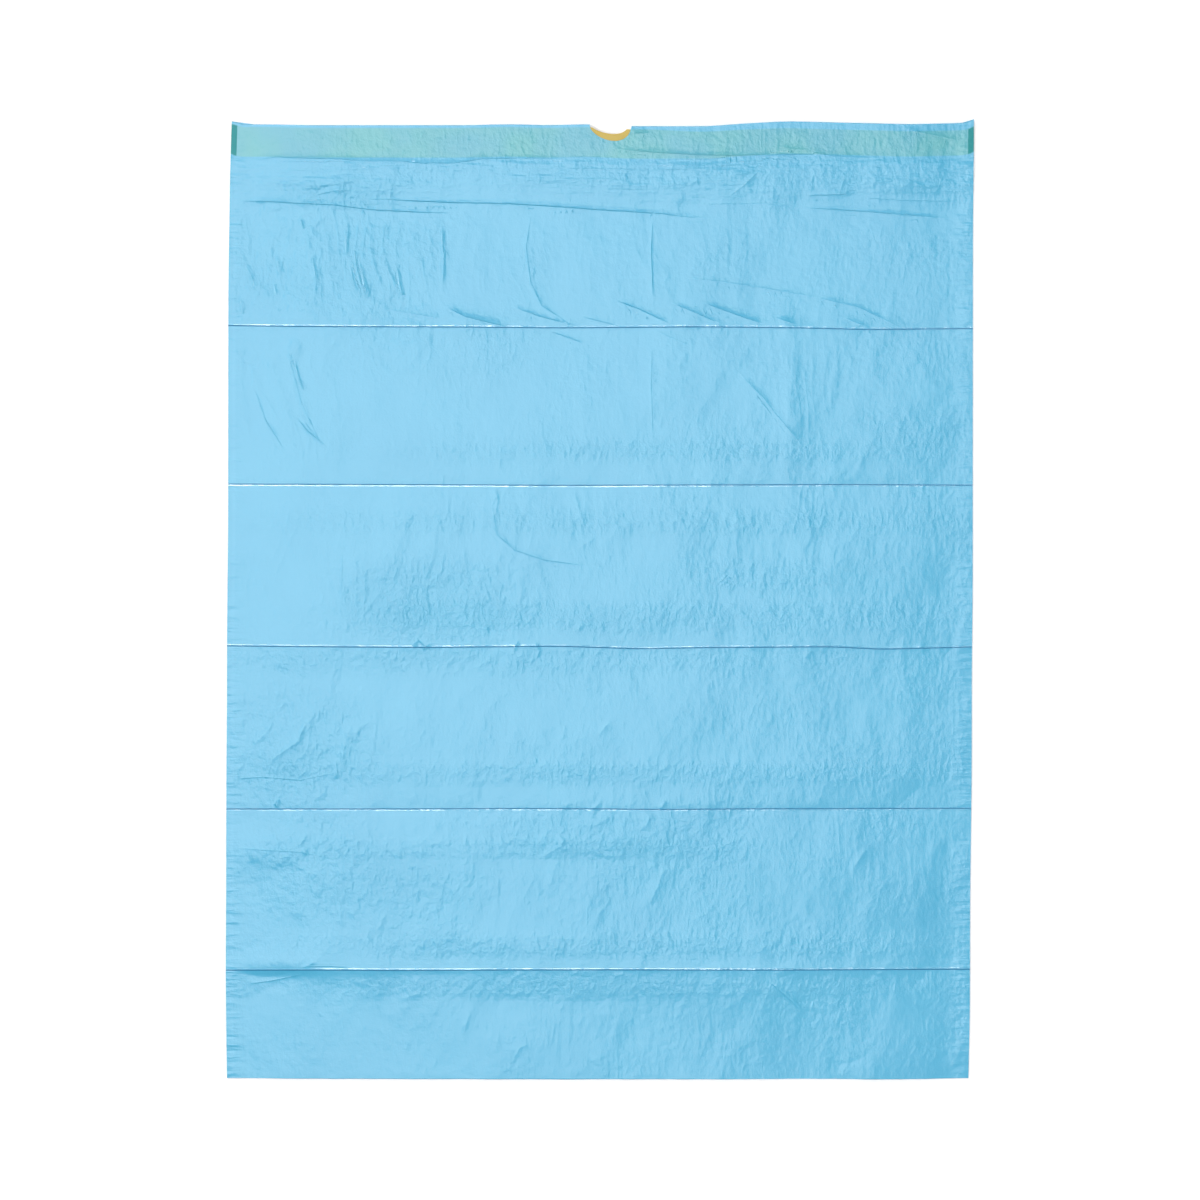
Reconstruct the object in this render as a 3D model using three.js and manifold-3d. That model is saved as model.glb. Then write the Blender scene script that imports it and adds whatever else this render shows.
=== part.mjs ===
// A drawstring trash can liner, lying flat and empty as it comes off its fold.
// One sheet of film is folded at the bottom, turned in at the mouth to make a hem on each ply,
// and welded down both sides. A drawtape runs inside each hem and shows in the punched notch.
// Millimetres. +X runs across the mouth, +Y from the bottom fold to the mouth, +Z up from the floor.
// The origin is under the middle of the liner, on the face that it lies on.

import * as THREE from "three";
import { mergeVertices } from "three/addons/utils/BufferGeometryUtils.js";
import Module from "manifold-3d";

// Lay-flat size of the liner
const LINER_WIDTH = 610;
const LINER_LENGTH = 784;

// Film, and the air left between the two plies
const FILM_THICKNESS = 0.3;
const AIR_GAP = 1;

// Drawtape, and its room in the hem
const TAPE_WIDTH = 24;
const TAPE_THICKNESS = 0.3;
const TAPE_FACE_CLEARANCE = 0.3;
const TAPE_EDGE_CLEARANCE = 1.5;

// Hem: the film turned in past the tape, and welded to its ply below the tape
const HEM_WELD_WIDTH = 7;
const HEM_SLOPE_LENGTH = 12;

// Notch punched through the hem, and the shallower bite that it leaves in the tape
const NOTCH_WIDTH = 34;
const NOTCH_DEPTH = 11.5;
const NOTCH_OFFSET = 8.5;
const BITE_WIDTH = 28;
const BITE_DEPTH = 4.2;

// Side welds, where the plies are pressed together
const SIDE_WELD_WIDTH = 6;
const WELD_PRESS = 0.5;
const WELD_RISE_LENGTH = 26;

// Packing folds across the liner, turned up and down by turns
const FIRST_FOLD = 90;
const FOLD_PITCH = 132;
const RIDGE_HEIGHT = 1.6;
const VALLEY_CLEARANCE = 0.3;
const FOLD_REACH = 6;

// Facets on rounded edges
const HEM_ARC_STEPS = 6;
const BOTTOM_ARC_STEPS = 8;
const PUNCH_SEGMENTS = 72;

const FILM_COLOUR = "#82c9ea";
const TAPE_COLOUR = "#e0c552";

// Room for the tape between the film of one hem
const pocketHeight = TAPE_THICKNESS + TAPE_FACE_CLEARANCE;
const pocketDepth = TAPE_WIDTH + 2 * TAPE_EDGE_CLEARANCE;
const hemHeight = 2 * FILM_THICKNESS + pocketHeight;
const hemDepth = FILM_THICKNESS + pocketDepth + HEM_WELD_WIDTH;
const bodyHeight = 2 * FILM_THICKNESS + AIR_GAP;
const mouthHeight = 2 * hemHeight + AIR_GAP;

// Stations up the liner, measured from the bottom fold
const hemStart = LINER_LENGTH - hemDepth;
const slopeStart = hemStart - HEM_SLOPE_LENGTH;
const foldClearOfHem = 3 * FOLD_REACH;
const lastFoldAllowed = slopeStart - foldClearOfHem;

const wasm = await Module();
wasm.setup();

// Packing folds between the bottom and the hem: the first turns up, the next down, and so on.
function packingFolds() {
  const valleyDrop = AIR_GAP - VALLEY_CLEARANCE;
  const folds = [];
  for (let y = FIRST_FOLD; y < lastFoldAllowed; y += FOLD_PITCH) {
    const turnsUp = folds.length % 2 === 0;
    folds.push({ y, rise: turnsUp ? RIDGE_HEIGHT : -valleyDrop });
  }
  return folds;
}

const folds = packingFolds();

// Height of the upper ply's outer face over the floor, away from the hem.
function plyTop(y) {
  const relief = folds.map((fold) => fold.rise * Math.exp(-Math.abs(y - fold.y) / FOLD_REACH));
  return bodyHeight + relief.reduce((sum, rise) => sum + rise, 0);
}

// Stations along the ply where its section needs a point: close together at each fold.
function plyStations(from, to) {
  const beside = [0, 0.4, 1, 2, 4];
  const stations = [from, to];
  for (const fold of folds) {
    for (const reach of beside) {
      stations.push(fold.y - reach * FOLD_REACH, fold.y + reach * FOLD_REACH);
    }
  }
  const inside = stations.filter((y) => y >= from && y <= to);
  return [...new Set(inside)].sort((a, b) => a - b);
}

// Points of a half circle round (y, z), from one angle to another, in quarter turns.
function arcPoints(y, z, radius, fromQuarter, toQuarter, steps) {
  const points = [];
  for (let i = 0; i <= steps; i += 1) {
    const angle = ((fromQuarter + ((toQuarter - fromQuarter) * i) / steps) * Math.PI) / 2;
    points.push(new THREE.Vector2(y + radius * Math.cos(angle), z + radius * Math.sin(angle)));
  }
  return points;
}

// Slot for the tape in a hem whose lower face is at z. Its mouth end is round, as the film turns over it.
function pocketPath(z) {
  const radius = pocketHeight / 2;
  const top = LINER_LENGTH - FILM_THICKNESS;
  const points = arcPoints(top - radius, z + FILM_THICKNESS + radius, radius, -1, 1, HEM_ARC_STEPS);
  points.push(new THREE.Vector2(top - pocketDepth, z + FILM_THICKNESS + pocketHeight));
  points.push(new THREE.Vector2(top - pocketDepth, z + FILM_THICKNESS));
  return new THREE.Path(points);
}

// Section of the liner as if the plies were one, with the two tape slots open.
function closedSection() {
  const hemRadius = hemHeight / 2;
  const bottomRadius = bodyHeight / 2;
  const frontHem = hemHeight + AIR_GAP;
  const points = [
    ...arcPoints(LINER_LENGTH - hemRadius, hemRadius, hemRadius, -1, 1, HEM_ARC_STEPS),
    ...arcPoints(LINER_LENGTH - hemRadius, frontHem + hemRadius, hemRadius, -1, 1, HEM_ARC_STEPS),
    new THREE.Vector2(hemStart, mouthHeight),
  ];
  for (const y of plyStations(bottomRadius, slopeStart).reverse()) {
    points.push(new THREE.Vector2(y, plyTop(y)));
  }
  points.push(...arcPoints(bottomRadius, bottomRadius, bottomRadius, 1, 3, BOTTOM_ARC_STEPS).slice(1));
  const section = new THREE.Shape(points);
  section.holes.push(pocketPath(0), pocketPath(frontHem));
  return section;
}

// Section of the space between the plies. It runs out past the mouth, so that the cut is open there.
function hollowSection() {
  const pastMouth = LINER_LENGTH + hemHeight;
  const bottomRadius = bodyHeight / 2;
  const innerRadius = AIR_GAP / 2;
  const points = [
    new THREE.Vector2(hemStart, FILM_THICKNESS),
    new THREE.Vector2(hemStart, hemHeight),
    new THREE.Vector2(pastMouth, hemHeight),
    new THREE.Vector2(pastMouth, hemHeight + AIR_GAP),
    new THREE.Vector2(hemStart, hemHeight + AIR_GAP),
    new THREE.Vector2(hemStart, mouthHeight - FILM_THICKNESS),
  ];
  for (const y of plyStations(bottomRadius, slopeStart).reverse()) {
    points.push(new THREE.Vector2(y, plyTop(y) - FILM_THICKNESS));
  }
  points.push(...arcPoints(bottomRadius, bottomRadius, innerRadius, 1, 3, BOTTOM_ARC_STEPS).slice(1));
  return new THREE.Shape(points);
}

// Section of one tape, lying on the film under it. z is the lower face of its hem.
function tapeSection(z) {
  const top = LINER_LENGTH - FILM_THICKNESS - TAPE_EDGE_CLEARANCE;
  const low = z + FILM_THICKNESS;
  return new THREE.Shape([
    new THREE.Vector2(top - TAPE_WIDTH, low),
    new THREE.Vector2(top, low),
    new THREE.Vector2(top, low + TAPE_THICKNESS),
    new THREE.Vector2(top - TAPE_WIDTH, low + TAPE_THICKNESS),
  ]);
}

// How far the stack is pressed flat at x: fully at the side welds, and not at all past their rise.
function pressAt(x) {
  const fromWeld = LINER_WIDTH / 2 - SIDE_WELD_WIDTH - Math.abs(x);
  const share = THREE.MathUtils.smoothstep(fromWeld, 0, WELD_RISE_LENGTH);
  return WELD_PRESS + (1 - WELD_PRESS) * share;
}

// Stations across the liner, from one end to the other, with the rise from each weld between.
function stationsAcross(halfWidth) {
  const weldEdge = LINER_WIDTH / 2 - SIDE_WELD_WIDTH;
  const rise = [0, 0.25, 0.5, 0.75, 1].map((share) => weldEdge - share * WELD_RISE_LENGTH);
  const right = [...rise].reverse();
  if (halfWidth > weldEdge) {
    right.push(halfWidth);
  }
  return [...right.map((x) => -x).reverse(), ...right];
}

// Runs a Y-Z section across the liner, and presses it down towards the side welds.
function runAcross(section, halfWidth) {
  const stations = stationsAcross(halfWidth);
  const steps = stations.length - 1;
  const geometry = new THREE.ExtrudeGeometry(section, { depth: steps, steps, bevelEnabled: false });
  const place = geometry.attributes.position;
  for (let i = 0; i < place.count; i += 1) {
    const x = stations[Math.round(place.getZ(i))];
    place.setXYZ(i, x, place.getX(i) - LINER_LENGTH / 2, place.getY(i) * pressAt(x));
  }
  return geometry;
}

// Upright punch that takes a round bite, that wide and deep, out of an edge at y.
function punch(biteWidth, biteDepth, edge) {
  const radius = (biteWidth ** 2 / 4 + biteDepth ** 2) / (2 * biteDepth);
  const geometry = new THREE.CylinderGeometry(radius, radius, 4 * mouthHeight, PUNCH_SEGMENTS);
  geometry.rotateX(Math.PI / 2);
  geometry.translate(NOTCH_OFFSET, edge - LINER_LENGTH / 2 - biteDepth + radius, 0);
  return geometry;
}

function toSolid(geometry) {
  const bare = geometry.clone();
  bare.deleteAttribute("normal");
  bare.deleteAttribute("uv");
  const merged = mergeVertices(bare, 1e-4);
  const mesh = new wasm.Mesh({
    numProp: 3,
    vertProperties: merged.attributes.position.array,
    triVerts: new Uint32Array(merged.index.array),
  });
  return new wasm.Manifold(mesh);
}

function toGeometry(solid) {
  const mesh = solid.getMesh();
  const geometry = new THREE.BufferGeometry();
  geometry.setAttribute("position", new THREE.BufferAttribute(new Float32Array(mesh.vertProperties), 3));
  geometry.setIndex(new THREE.BufferAttribute(new Uint32Array(mesh.triVerts), 1));
  geometry.computeVertexNormals();
  return geometry;
}

const filmMaterial = new THREE.MeshStandardMaterial({ color: FILM_COLOUR, roughness: 0.35, metalness: 0 });
const tapeMaterial = new THREE.MeshStandardMaterial({ color: TAPE_COLOUR, roughness: 0.4, metalness: 0 });

function linerFilm() {
  const closed = toSolid(runAcross(closedSection(), LINER_WIDTH / 2));
  const hollow = toSolid(runAcross(hollowSection(), LINER_WIDTH / 2 - SIDE_WELD_WIDTH));
  const notch = toSolid(punch(NOTCH_WIDTH, NOTCH_DEPTH, LINER_LENGTH));
  const film = new THREE.Mesh(toGeometry(closed.subtract(hollow).subtract(notch)), filmMaterial);
  film.name = "liner_film";
  return film;
}

function drawtape(name, hemLowerFace) {
  const strip = toSolid(runAcross(tapeSection(hemLowerFace), LINER_WIDTH / 2));
  const tapeEdge = LINER_LENGTH - FILM_THICKNESS - TAPE_EDGE_CLEARANCE;
  const bite = toSolid(punch(BITE_WIDTH, BITE_DEPTH, tapeEdge));
  const tape = new THREE.Mesh(toGeometry(strip.subtract(bite)), tapeMaterial);
  tape.name = name;
  return tape;
}

const liner = new THREE.Group();
liner.add(linerFilm());
liner.add(drawtape("back_drawtape", 0));
liner.add(drawtape("front_drawtape", hemHeight + AIR_GAP));

export default liner;
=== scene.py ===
import math

import bpy
import numpy as np
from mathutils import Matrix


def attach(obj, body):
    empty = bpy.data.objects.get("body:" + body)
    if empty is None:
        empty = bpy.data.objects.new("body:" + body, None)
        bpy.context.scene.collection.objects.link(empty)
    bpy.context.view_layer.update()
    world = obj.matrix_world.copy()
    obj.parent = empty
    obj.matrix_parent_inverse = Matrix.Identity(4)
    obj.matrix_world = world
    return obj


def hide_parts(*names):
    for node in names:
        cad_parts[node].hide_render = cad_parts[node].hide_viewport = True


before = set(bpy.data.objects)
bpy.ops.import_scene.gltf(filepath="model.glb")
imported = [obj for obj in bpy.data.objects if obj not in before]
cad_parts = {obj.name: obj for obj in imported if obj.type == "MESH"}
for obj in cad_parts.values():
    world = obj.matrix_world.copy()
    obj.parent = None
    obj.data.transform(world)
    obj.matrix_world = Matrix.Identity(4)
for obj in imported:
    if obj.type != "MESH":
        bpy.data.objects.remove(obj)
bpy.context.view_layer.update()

# A drawstring trash can liner lying flat, seen from straight above.
# Lengths are in millimetres until a mesh is made, which turns them to metres.
metre = 0.001

# Places read off the photograph are kept in its pixels, and toMm turns them to the liner's frame.
photo = dict(size=1200, mmPerPixel=610 / 742, middle=(600, 602))


def toMm(points):
    p = np.array(points, float)
    x = (p[..., 0] - photo["middle"][0]) * photo["mmPerPixel"]
    y = (photo["middle"][1] - p[..., 1]) * photo["mmPerPixel"]
    return np.stack([x, y], -1)


def linear(hexColour):
    channels = [int(hexColour[i:i + 2], 16) / 255 for i in (1, 3, 5)]
    return [c / 12.92 if c <= 0.04045 else ((c + 0.055) / 1.055) ** 2.4 for c in channels] + [1]


def ease(t):
    t = np.clip(t, 0, 1)
    return t * t * (3 - 2 * t)


# A run through points, rounded over about blur on each side.
def softRun(points, at, blur):
    p = np.array(points, float)
    p = p[np.argsort(p[:, 0])]
    steps = np.linspace(-2, 2, 9)
    weights = np.exp(-steps ** 2 / 2)
    total = sum(w * np.interp(at + s * blur, p[:, 0], p[:, 1]) for s, w in zip(steps, weights))
    return total / weights.sum()


# The liner as it lies: hardly square, with a wavy mouth. Points are in the photograph's pixels.
outline = dict(
    mouth=[(232, 122.5), (235, 125), (268, 125), (308, 126), (468, 126), (508, 125), (548, 126), (588, 125),
           (628, 127), (668, 127), (708, 127), (748, 124), (788, 122), (828, 123), (868, 124), (908, 125),
           (948, 124), (967, 123.5), (974, 120.5)],
    bottom=[(226, 1078), (400, 1078.5), (700, 1078.8), (900, 1078.6), (970, 1078)],
    left=[(120, 232), (178, 230), (238, 229), (298, 228.2), (538, 228), (620, 227), (718, 226.8),
          (780, 226.2), (900, 226), (980, 225.6), (1040, 226.2), (1078, 227)],
    right=[(120, 974), (240, 973), (598, 972.8), (658, 972), (778, 971.8), (838, 971), (900, 970.2),
           (1018, 970), (1050, 969.2), (1078, 968.4)],
    blurAcross=6, blurAlong=16, cornerHigh=1.6, cornerReach=2.2,
    foldBlur=9, foldPull=0.035)

# Packing folds, from the bottom up. The liner is folded like an accordion, so they turn up and down by turns.
# skirt is how far the film stands away from its flat run, and how far that reaches on the mouth's side and
# on the bottom's. pinch is the height of the sharp line at the crease itself.
packingFolds = [
    dict(line=[(226, 969.8), (309, 969.4), (400, 969.8), (600, 969.3), (790, 969.5), (972, 968.8)],
         skirt=(1.3, 34, 8), pinch=0.66),
    dict(line=[(226, 809.5), (400, 809.5), (505, 809), (596, 809.4), (662, 810), (740, 809.4), (972, 808.8)],
         skirt=(-0.45, 4, 16), pinch=-0.56),
    dict(line=[(227, 645.4), (280, 646), (420, 647), (560, 645.8), (640, 648.4), (700, 647.2), (833, 646.3),
               (881, 648.8), (906, 648.2), (972, 646.5)],
         skirt=(0.5, 26, 4), pinch=0.56),
    dict(line=[(228, 484.5), (400, 485), (560, 485.8), (700, 485.4), (850, 485), (972, 485.6)],
         skirt=(-0.45, 4, 16), pinch=-0.56),
    dict(line=[(228, 325), (300, 326), (440, 326.5), (560, 327.4), (700, 326.4), (800, 327.4), (867, 329),
               (972, 328)],
         skirt=(0.45, 24, 3.4), pinch=0.5)]

# Film sizes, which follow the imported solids. The body and mouth are measured over both plies.
film = dict(
    bodyThick=1.6, mouthThick=3.4, hemDepth=34.3, hemThick=1.2, slopeLength=44,
    weldWidth=6, weldPress=0.6, weldRise=60, hemRadius=0.6, leastGap=0.45,
    cells=1024, frontTriangles=126000, backTriangles=36000)

# Tape sizes. topGap is the bare strip of hem over the tape, in pixels along the mouth.
tape = dict(
    width=24, thick=0.3, depth=0.6, endGap=1.2,
    topGap=[(232, 2.0), (600, 2.2), (650, 2.6), (690, 4.6), (800, 6.2), (974, 6.6)])

# Notch punched through both hems, and the shallower bite it takes out of the tapes
notch = dict(middle=610.3, half=20.6, low=140.6, lean=0.16)
bite = dict(middle=609.5, half=17.8, low=133.5, lean=0.14)
lipPy = 125.8

print("liner: sizes set")

# Grid over the liner, from the bottom (row 0) to the mouth and from left to right.
# Its rows bend to run along each packing fold, so that a crease is never cut across by the mesh.
cells = film["cells"]
lowPy, highPy = 1078.5, 125.0
longCreasePy = 206
foldPlaces = [(lowPy - np.mean([p[1] for p in fold["line"]])) / (lowPy - highPy) for fold in packingFolds]


# Shares of the length for the grid's rows: evenly spaced, but twice as close at each fold and where the
# long creases run under the hem.
def rowShares():
    even = np.linspace(0, 1, cells + 1)
    longCreasePlace = (lowPy - longCreasePy) / (lowPy - highPy)
    spacing = 1 - 0.5 * sum(np.exp(-((even - place) / 0.006) ** 2) for place in foldPlaces)
    spacing -= 0.5 * np.exp(-((even - longCreasePlace) / 0.012) ** 2)
    rows = np.concatenate([[0], np.cumsum((spacing[1:] + spacing[:-1]) / 2)])
    return rows / rows[-1]


columnShare = np.linspace(0, 1, cells + 1)
rowShare = rowShares()


def gridPlaces():
    across, along = np.meshgrid(columnShare, rowShare)
    py = lowPy + along * (highPy - lowPy)
    leftPx = softRun(outline["left"], py, outline["blurAlong"])
    rightPx = softRun(outline["right"], py, outline["blurAlong"])
    px = leftPx + across * (rightPx - leftPx)
    mouthPy = softRun(outline["mouth"], px, outline["blurAcross"])
    corner = np.exp(-np.minimum(px - leftPx, rightPx - px) / outline["cornerReach"])
    mouthPy = mouthPy - outline["cornerHigh"] * corner
    bottomPy = softRun(outline["bottom"], px, outline["blurAcross"])
    py = bottomPy + along * (mouthPy - bottomPy)
    bends = []
    for fold, place in zip(packingFolds, foldPlaces):
        row = int(np.argmin(np.abs(rowShare - place)))
        bends.append((softRun(fold["line"], px[row], outline["foldBlur"]), row))
    py = py + sum((foldPy - py[row])[None, :] * np.exp(-((along - rowShare[row]) / outline["foldPull"]) ** 2)
                  for foldPy, row in bends)
    x = (px - photo["middle"][0]) * photo["mmPerPixel"]
    y = (photo["middle"][1] - py) * photo["mmPerPixel"]
    fromMouth = (py - mouthPy) * photo["mmPerPixel"]
    fromSide = np.minimum(px - leftPx, rightPx - px) * photo["mmPerPixel"]
    foldY = [(photo["middle"][1] - foldPy) * photo["mmPerPixel"] for foldPy, _ in bends]
    return x, y, fromMouth, fromSide, foldY


gridX, gridY, fromMouth, fromSide, foldY = gridPlaces()
stepX, stepY = 610 / cells, 784 / cells


# Row of the grid that lies a distance below the mouth
def rowAt(down):
    column = fromMouth[::-1, cells // 2]
    return np.interp(down, column, np.arange(cells, -1, -1.0))


# Smooth seeded unevenness with waves of about that length across and along, at most 1 high or so.
def slack(seed, acrossMm, alongMm):
    draws = np.random.default_rng(seed).standard_normal((cells + 1, cells + 1))
    fx = np.fft.rfftfreq(cells + 1, stepX)[None, :] * acrossMm
    fy = np.fft.fftfreq(cells + 1, stepY)[:, None] * alongMm
    radius = np.sqrt(fx ** 2 + fy ** 2)
    kept = np.exp(-((radius - 1) / 0.45) ** 2) * (radius > 0)
    wave = np.fft.irfft2(np.fft.rfft2(draws) * kept, s=draws.shape)
    return wave / (2.5 * wave.std())  # hardly any of it is past 2.5 deviations


# Turns a path so that the lights, past the mouth and at the left, are on its left-hand side.
def turned(run):
    dx, dy = run[-1] - run[0]
    return run[::-1] if 2 * dx + dy < 0 else run


# The part of the grid within reach of a path. Gives its slice, the distance from the path, which is
# positive on its lit side, and the share of height left near its ends.
def nearPath(path, reach, fade):
    run = turned(toMm(path))
    lo, hi = run.min(0) - reach, run.max(0) + reach
    cols = np.where((gridX[cells // 2] > lo[0] - 3) & (gridX[cells // 2] < hi[0] + 3))[0]
    rows = np.where((gridY[:, cells // 2] > lo[1] - 5) & (gridY[:, cells // 2] < hi[1] + 5))[0]
    box = (slice(rows[0], rows[-1] + 1), slice(cols[0], cols[-1] + 1))
    x, y = gridX[box], gridY[box]
    lengths = np.linalg.norm(np.diff(run, axis=0), axis=1)
    starts = np.concatenate([[0], np.cumsum(lengths)])
    best = np.full(x.shape, np.inf)
    side = np.zeros(x.shape)
    along = np.zeros(x.shape)
    for i, length in enumerate(lengths):
        a, d = run[i], (run[i + 1] - run[i]) / length
        rx, ry = x - a[0], y - a[1]
        inside = np.clip(rx * d[0] + ry * d[1], 0, length)
        gap = np.hypot(rx - inside * d[0], ry - inside * d[1])
        nearer = gap < best
        best = np.where(nearer, gap, best)
        side = np.where(nearer, d[0] * ry - d[1] * rx, side)
        along = np.where(nearer, starts[i] + inside, along)
    total = starts[-1]
    ends = ease(0.12 + np.minimum(along, total - along) / max(fade * total, 0.1))
    return box, np.where(side > 0, best, -best), ends


# One wrinkle: a crest along path, height mm high, that falls off over lit mm on its lit side and over dark
# mm on the other, in a curve with a sharp crest or an even flank.
def addWrinkle(z, path, height, lit, dark, evenFlank=False):
    crest = 0.35  # mm that the sharp crest is rounded over
    box, away, ends = nearPath(path, 4.5 * max(lit, dark), 0.35)
    width = np.where(away > 0, lit, dark)
    sharp = np.exp(-(np.sqrt(away ** 2 + crest ** 2) - crest) / width)
    z[box] += height * ends * (ease(1 - np.abs(away) / width) if evenFlank else sharp)


def addSwell(z, place, size, height, turn=0):
    x0, y0 = toMm(place)
    a = math.radians(turn)
    dx, dy = gridX - x0, gridY - y0
    along = (dx * math.cos(a) + dy * math.sin(a)) / size[0]
    across = (dy * math.cos(a) - dx * math.sin(a)) / size[1]
    z += height * np.exp(-(along ** 2 + across ** 2))


# Wrinkles of the front ply as (path in pixels, height, width of the lit side, width of the dark side). Some
# have a hairline along their crest, and its height comes last.
hemWrinkles = [
    ([(236, 157), (250, 160), (262, 160.5), (275, 157), (300, 158), (340, 159), (362, 161), (400, 161),
      (422, 163), (455, 163), (480, 159), (520, 158)], 0.3, 6, 1.8),
    ([(520, 158), (560, 159), (598, 158)], 0.2, 5, 1.0),
    ([(600, 147), (650, 152), (700, 155), (735, 155.5), (800, 154), (840, 154)], 0.25, 6, 1.8),
    ([(775, 146), (800, 150), (830, 156), (880, 158), (950, 158)], 0.25, 5, 1.8),
    ([(905, 129), (930, 134), (958, 140)], 0.2, 4, 1.6, 0.22),
    ([(632, 133), (648, 133)], 0.25, 2, 1.2, 0.25),
    ([(240, 170), (300, 170), (380, 168), (470, 167), (560, 169)], -0.3, 1.2, 4),
    ([(600, 169), (660, 170), (720, 168), (770, 163), (800, 160)], -0.3, 1.2, 4),
    ([(640, 164), (720, 166), (790, 163), (840, 162)], -0.2, 1.0, 3),
    ([(620, 176), (690, 177), (730, 174)], -0.2, 1.2, 3),
    ([(730, 196), (745, 184), (760, 170)], 0.25, 1.2, 1.6, 0.16),
    ([(720, 180), (752, 171), (770, 160), (776, 158)], 0.3, 1.2, 1.2),
    ([(826, 168), (850, 164), (870, 166)], 0.25, 2, 1.0),
    ([(600, 198), (640, 202), (720, 204), (800, 200), (850, 203)], -0.2, 1.0, 3),
    ([(325.5, 132), (334, 146), (343, 157)], 0.2, 1.6, 4),
    ([(345, 132), (352, 142), (358, 154)], 0.14, 2, 3),
    ([(406, 132), (414, 140), (421, 147)], 0.2, 1.6, 4),
    ([(693, 128), (694, 142), (693, 154)], 0.14, 1.5, 3),
    ([(737, 128), (738, 142), (738, 156)], 0.16, 1.6, 3),
    ([(781, 126), (783, 138), (782, 150)], 0.14, 1.5, 3),
    ([(825, 126), (829, 138), (831, 154)], 0.18, 1.6, 3),
    ([(863, 126), (864, 140), (863, 158)], 0.14, 1.5, 3),
    ([(912, 128), (913, 142), (912, 158)], 0.18, 1.8, 3),
    ([(450, 128), (454, 142), (452, 156)], 0.12, 2, 3),
    ([(520, 128), (516, 142), (521, 156)], 0.12, 2, 3),
    ([(575, 126), (578, 140), (574, 154)], 0.14, 1.6, 2),
    ([(659, 134.6), (662.6, 143)], 0.6, 0.9, 1.2),
    ([(722.8, 133.3), (725.7, 143)], 0.6, 0.9, 1.2),
    ([(575, 160), (575, 172)], 0.4, 1.0, 1.4),
    ([(533, 162), (536, 170)], 0.3, 1.0, 1.4),
    ([(413, 160), (415, 167)], 0.35, 1.0, 1.2),
    ([(346, 150), (348, 172), (346, 184)], 0.3, 1.0, 1.6),
    ([(951, 130), (952, 142), (950, 154)], 0.4, 1.0, 1.0),
    ([(962, 128), (966, 140), (963, 152), (967, 166)], 0.6, 1.0, 1.0),
    ([(969, 132), (971, 150), (969, 172)], 0.4, 1.0, 1.0),
    ([(962, 160), (967, 166), (972, 164)], 0.4, 1.0, 1.0),
    ([(960, 176), (966, 184), (971, 180)], 0.4, 1.0, 1.0),
]

longCreases = [
    ([(235, 200.8), (264, 200.8), (296, 202.8), (333, 204.5), (372, 209.4), (421, 211.9), (460, 213)],
     0.3, 6, 2.0, 0.34),
    ([(348.8, 198.4), (387, 199.1), (448, 202.1), (510, 203.3), (559, 206.3), (600, 209.4), (659, 213.1),
      (688, 216.8), (716, 218)], 0.3, 6, 2.0, 0.36),
    ([(806, 195.5), (830, 194.6), (850, 194)], 0.2, 3, 1.6, 0.26),
    ([(800, 207), (840, 209.4), (895, 213.5), (951, 218)], 0.25, 4, 1.8, 0.26),
    ([(690, 204), (760, 203), (800, 207)], 0.2, 4, 1.2),
    ([(312, 197), (333, 191), (356, 190), (372, 192)], 0.3, 2, 0.9),
    ([(352, 194), (372, 184), (394, 177)], 0.4, 1.2, 1.6),
    ([(316, 209), (326, 201), (336, 197)], 0.5, 1.2, 1.2),
    ([(366, 195), (380, 190), (402, 184), (412, 178)], 0.3, 1.2, 1.4),
    ([(240, 190), (262, 184), (283, 178), (290, 172)], 0.35, 2, 2),
    ([(250, 168), (256, 176), (262, 180)], 0.3, 1.5, 1.5),
    ([(436, 172), (452, 181), (480, 176)], 0.2, 2, 2),
    ([(440, 186), (500, 189), (560, 186)], 0.2, 4, 2),
    ([(590, 187), (610, 182), (640, 184)], 0.2, 3, 2),
    ([(700, 195), (730, 191), (760, 190), (794, 188)], 0.3, 3, 1.4),
    ([(860, 196), (900, 200), (960, 200)], -0.25, 1.2, 5),
    ([(850, 178), (895, 182), (940, 178)], 0.2, 5, 2),
]

diagonals = [
    ([(445.8, 306.4), (465.4, 316.3), (504.7, 326)], 0.4, 5, 1.8, 0.34),
    ([(512, 306), (540, 316), (556, 320), (580, 326)], 0.3, 5, 1.8, 0.26),
    ([(582, 316), (616, 325)], 0.2, 4, 1.6, 0.18),
    ([(614.7, 299.5), (640, 309), (671, 323.6)], 0.35, 5, 1.8, 0.3),
    ([(671, 302), (695, 312), (720, 323)], 0.35, 5, 1.8, 0.26),
    ([(703, 302), (730, 312), (764, 324)], 0.35, 5, 1.8, 0.3),
    ([(776.8, 317.5), (794, 323.6)], 0.25, 3, 1.6, 0.26),
    ([(845, 318), (871, 328)], 0.2, 3, 1.6, 0.18),
    ([(681, 277), (720, 281), (760, 286.8), (821, 297.8), (857.8, 306.4), (902, 328.5)], 0.35, 7, 2),
    ([(551, 331), (584, 343)], 0.25, 4, 1.8, 0.22),
    ([(737, 371), (762, 396), (790, 430), (805, 450)], 0.3, 7, 2, 0.2),
]

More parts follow.
